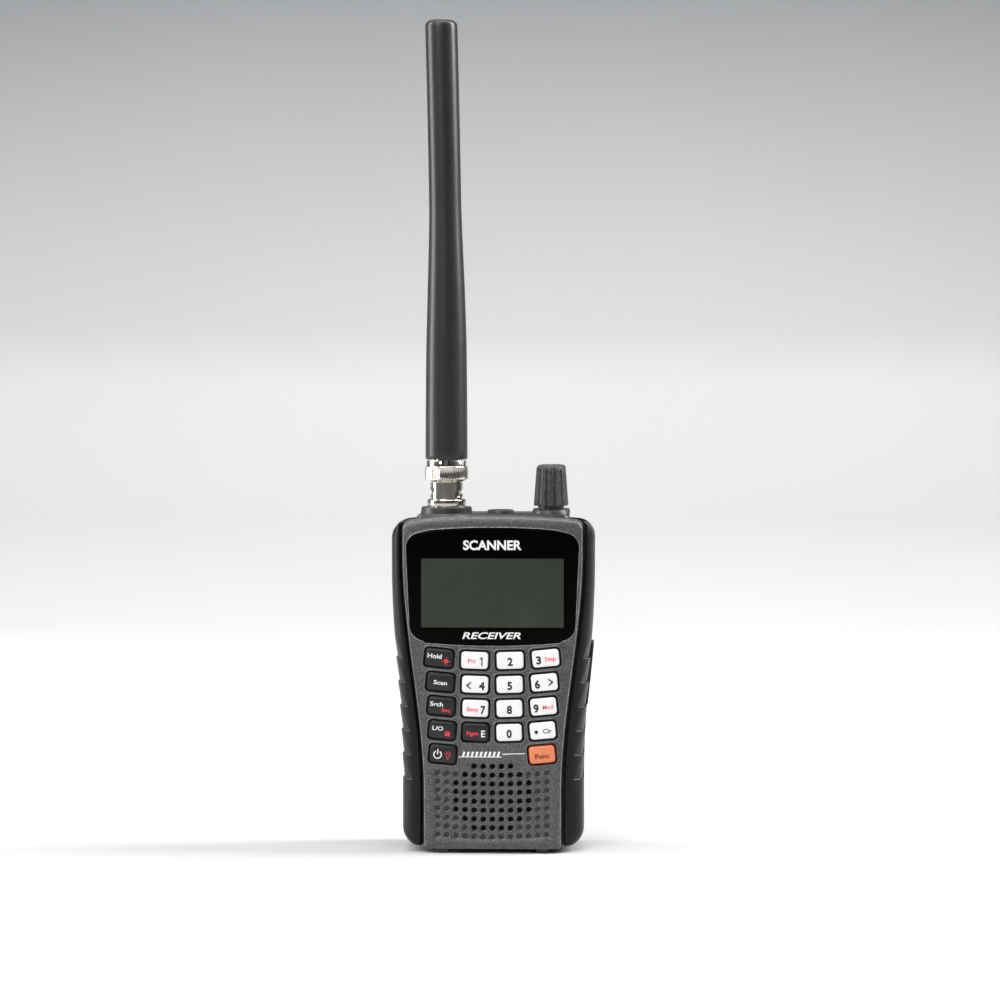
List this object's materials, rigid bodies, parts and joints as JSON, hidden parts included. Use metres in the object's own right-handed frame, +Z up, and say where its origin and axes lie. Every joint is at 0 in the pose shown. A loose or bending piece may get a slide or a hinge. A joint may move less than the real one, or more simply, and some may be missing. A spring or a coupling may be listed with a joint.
{
  "type": "handheld radio scanner",
  "caption": "Handheld scanning receiver with a display window, keypad, speaker grille, side grips, two top knobs and a bayonet rubber whip antenna.",
  "frame": {"origin": "centre of the base, on the surface that the feet stand on", "axes": "+Z up along the antenna, -Y out of the front with the display and keys, +X to the right when seen from the front"},
  "size_m": [0.068, 0.0316, 0.2779],
  "materials": {
    "panel_plastic": "satin metallic grey",
    "case_plastic": "fine texture",
    "grip_plastic": "coarse texture",
    "lens_plastic": "gloss",
    "display_glass": "dull gloss",
    "white_plastic": "satin",
    "grey_silicone": "matte",
    "bare_steel": "bright",
    "black_plastic": "matte",
    "board_laminate": "satin",
    "black_steel": "blackened",
    "brass": "bright",
    "nickel": "polished",
    "cell_wrap": "gloss",
    "black_rubber": "matte",
    "knob_plastic": "fine texture",
    "red_silicone": "matte",
    "copper": "bright",
    "key_white": "satin",
    "key_black": "satin",
    "key_orange": "satin"
  },
  "bodies": {
    "radio": {"front_case": "panel_plastic", "rear_case": "case_plastic", "top_cover": "case_plastic", "grip_left": "grip_plastic", "grip_right": "grip_plastic", "display_lens": "lens_plastic", "lcd_panel": "display_glass", "lcd_backlight": "white_plastic", "keypad_mat": "grey_silicone", "speaker_frame": "bare_steel", "speaker_cone": "black_plastic", "speaker_cloth": "black_plastic", "main_board": "board_laminate", "rf_board": "board_laminate", "shield_cans": "bare_steel", "board_connector": "black_plastic", "board_chips": "black_plastic", "board_screws": "bare_steel", "case_screws": "black_steel", "clip_inserts": "brass", "bnc_jack": "nickel", "bnc_insulator": "white_plastic", "bnc_nut": "nickel", "control_pots": "bare_steel", "phone_jack": "black_plastic", "usb_jack": "bare_steel", "battery_cells": "cell_wrap", "battery_contacts": "nickel", "battery_springs": "nickel"},
    "key_hold": {"key_hold": "key_black"},
    "key_1": {"key_1": "key_white"},
    "key_2": {"key_2": "key_white"},
    "key_3": {"key_3": "key_white"},
    "key_scan": {"key_scan": "key_black"},
    "key_4": {"key_4": "key_white"},
    "key_5": {"key_5": "key_white"},
    "key_6": {"key_6": "key_white"},
    "key_search": {"key_search": "key_black"},
    "key_7": {"key_7": "key_white"},
    "key_8": {"key_8": "key_white"},
    "key_9": {"key_9": "key_white"},
    "key_lockout": {"key_lockout": "key_black"},
    "key_enter": {"key_enter": "key_black"},
    "key_0": {"key_0": "key_white"},
    "key_clear": {"key_clear": "key_white"},
    "key_power": {"key_power": "key_black"},
    "key_function": {"key_function": "key_orange"},
    "volume_control": {"volume_knob": "knob_plastic", "volume_shaft": "bare_steel"},
    "squelch_control": {"squelch_knob": "knob_plastic", "squelch_shaft": "bare_steel"},
    "door": {"battery_door": "case_plastic"},
    "flap": {"port_cover": "black_rubber"},
    "cell_type_switch": {"battery_switch": "white_plastic"},
    "carrier": {"antenna_gasket": "red_silicone"},
    "coupling": {"coupling_ring": "nickel"},
    "whip": {"antenna_plug": "nickel", "antenna_coil": "copper", "antenna_sleeve": "black_rubber"}
  },
  "joints": [
    {"name": "press_hold", "type": "slide", "parent": "radio", "child": "key_hold", "axis": [0, 1, 0], "range_m": [0, 0.0008], "stiffness_N_per_m": 500},
    {"name": "press_1", "type": "slide", "parent": "radio", "child": "key_1", "axis": [0, 1, 0], "range_m": [0, 0.0008], "stiffness_N_per_m": 500},
    {"name": "press_2", "type": "slide", "parent": "radio", "child": "key_2", "axis": [0, 1, 0], "range_m": [0, 0.0008], "stiffness_N_per_m": 500},
    {"name": "press_3", "type": "slide", "parent": "radio", "child": "key_3", "axis": [0, 1, 0], "range_m": [0, 0.0008], "stiffness_N_per_m": 500},
    {"name": "press_scan", "type": "slide", "parent": "radio", "child": "key_scan", "axis": [0, 1, 0], "range_m": [0, 0.0008], "stiffness_N_per_m": 500},
    {"name": "press_4", "type": "slide", "parent": "radio", "child": "key_4", "axis": [0, 1, 0], "range_m": [0, 0.0008], "stiffness_N_per_m": 500},
    {"name": "press_5", "type": "slide", "parent": "radio", "child": "key_5", "axis": [0, 1, 0], "range_m": [0, 0.0008], "stiffness_N_per_m": 500},
    {"name": "press_6", "type": "slide", "parent": "radio", "child": "key_6", "axis": [0, 1, 0], "range_m": [0, 0.0008], "stiffness_N_per_m": 500},
    {"name": "press_search", "type": "slide", "parent": "radio", "child": "key_search", "axis": [0, 1, 0], "range_m": [0, 0.0008], "stiffness_N_per_m": 500},
    {"name": "press_7", "type": "slide", "parent": "radio", "child": "key_7", "axis": [0, 1, 0], "range_m": [0, 0.0008], "stiffness_N_per_m": 500},
    {"name": "press_8", "type": "slide", "parent": "radio", "child": "key_8", "axis": [0, 1, 0], "range_m": [0, 0.0008], "stiffness_N_per_m": 500},
    {"name": "press_9", "type": "slide", "parent": "radio", "child": "key_9", "axis": [0, 1, 0], "range_m": [0, 0.0008], "stiffness_N_per_m": 500},
    {"name": "press_lockout", "type": "slide", "parent": "radio", "child": "key_lockout", "axis": [0, 1, 0], "range_m": [0, 0.0008], "stiffness_N_per_m": 500},
    {"name": "press_enter", "type": "slide", "parent": "radio", "child": "key_enter", "axis": [0, 1, 0], "range_m": [0, 0.0008], "stiffness_N_per_m": 500},
    {"name": "press_0", "type": "slide", "parent": "radio", "child": "key_0", "axis": [0, 1, 0], "range_m": [0, 0.0008], "stiffness_N_per_m": 500},
    {"name": "press_clear", "type": "slide", "parent": "radio", "child": "key_clear", "axis": [0, 1, 0], "range_m": [0, 0.0008], "stiffness_N_per_m": 500},
    {"name": "press_power", "type": "slide", "parent": "radio", "child": "key_power", "axis": [0, 1, 0], "range_m": [0, 0.0008], "stiffness_N_per_m": 500},
    {"name": "press_function", "type": "slide", "parent": "radio", "child": "key_function", "axis": [0, 1, 0], "range_m": [0, 0.0008], "stiffness_N_per_m": 500},
    {"name": "volume_turn", "type": "hinge", "parent": "radio", "child": "volume_control", "pos_m": [0.0192, -0.0055, 0.12], "axis": [0, 0, 1], "range_deg": [-150, 150]},
    {"name": "squelch_turn", "type": "hinge", "parent": "radio", "child": "squelch_control", "pos_m": [0.0192, 0.0075, 0.12], "axis": [0, 0, 1], "range_deg": [-150, 150]},
    {"name": "door_swing", "type": "hinge", "parent": "radio", "child": "door", "pos_m": [0, 0.015, 0.0056], "axis": [-1, 0, 0], "range_deg": [0, 90]},
    {"name": "flap_swing", "type": "hinge", "parent": "radio", "child": "flap", "pos_m": [0.03097, -0.00053, 0.049], "axis": [0, 1, 0], "range_deg": [0, 95], "stiffness_Nm_per_rad": 0.002},
    {"name": "switch_slide", "type": "slide", "parent": "radio", "child": "cell_type_switch", "axis": [1, 0, 0], "range_m": [0, 0.002]},
    {"name": "antenna_lift", "type": "slide", "parent": "radio", "child": "carrier", "axis": [0, 0, 1], "range_m": [0, 0.0016]},
    {"name": "coupling_turn", "type": "hinge", "parent": "carrier", "child": "coupling", "pos_m": [-0.016, 0, 0.12], "axis": [0, 0, 1], "range_deg": [0, 80]},
    {"name": "antenna_swivel", "type": "hinge", "parent": "carrier", "child": "whip", "pos_m": [-0.016, 0, 0.14], "axis": [0, 0, 1], "continuous": true}
  ],
  "couplings": [
    {"joint": "coupling_turn", "follows": "antenna_lift", "rad_per_m": 872.66}
  ]
}
